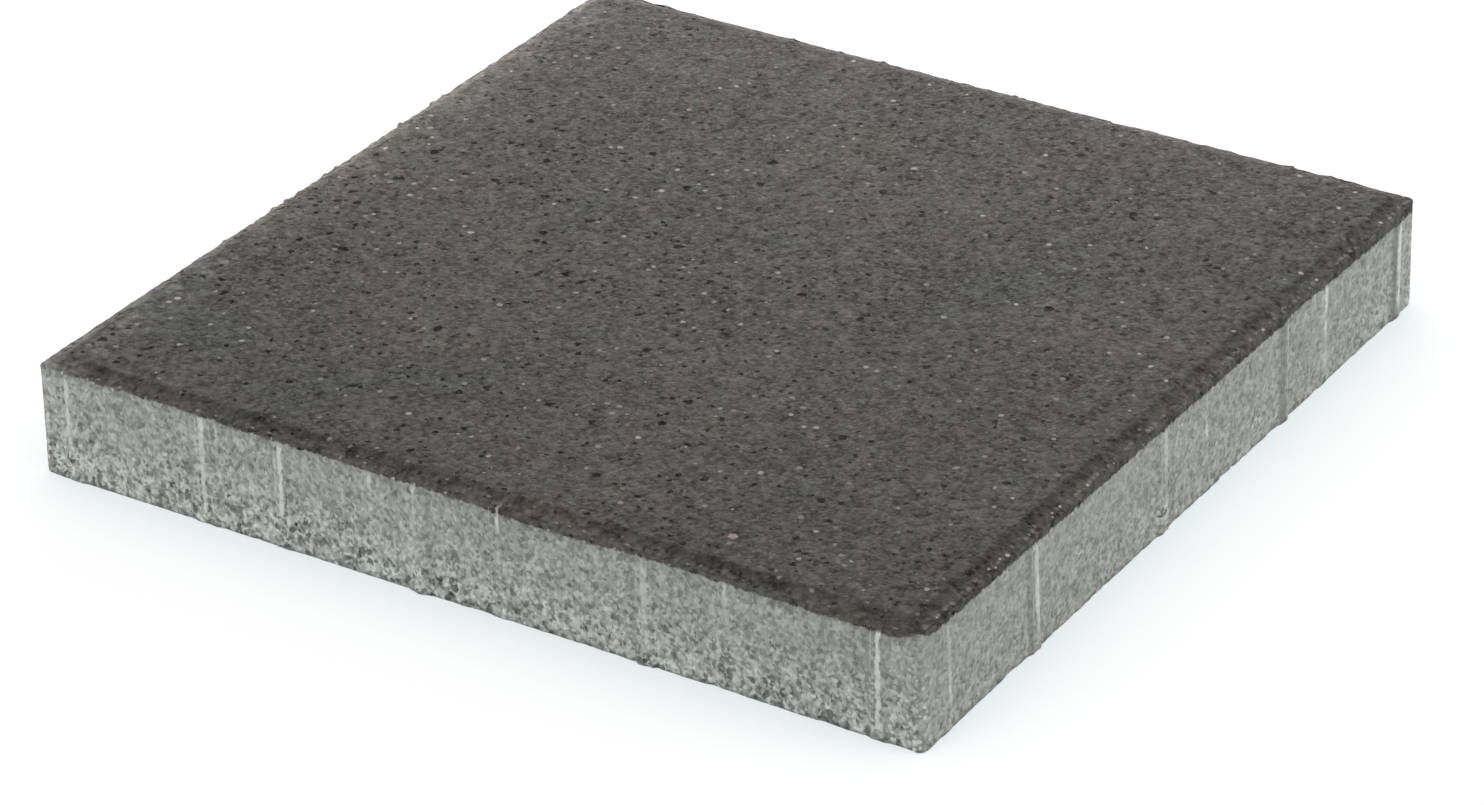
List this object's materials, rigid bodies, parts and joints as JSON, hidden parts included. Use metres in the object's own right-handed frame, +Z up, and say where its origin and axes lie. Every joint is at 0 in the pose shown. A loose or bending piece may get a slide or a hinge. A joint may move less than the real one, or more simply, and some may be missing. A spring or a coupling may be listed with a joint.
{
  "type": "concrete paving slab",
  "caption": "Square pressed concrete paving slab with a dark walking face, a shallow bevel, tight corners and spacer ribs on its sides, laid flat as outdoor paving.",
  "frame": {"origin": "middle of the bedding face, on the surface that the slab lies on", "axes": "+Z up, out of the walking face; X and Y along the square's sides"},
  "size_m": [0.4, 0.4, 0.05],
  "materials": {
    "concrete": "matt pressed concrete: anthracite face mix on the walking face and bevel, light grey base mix on the sides and underside"
  },
  "bodies": {
    "root": {"slab": "concrete"}
  },
  "joints": []
}
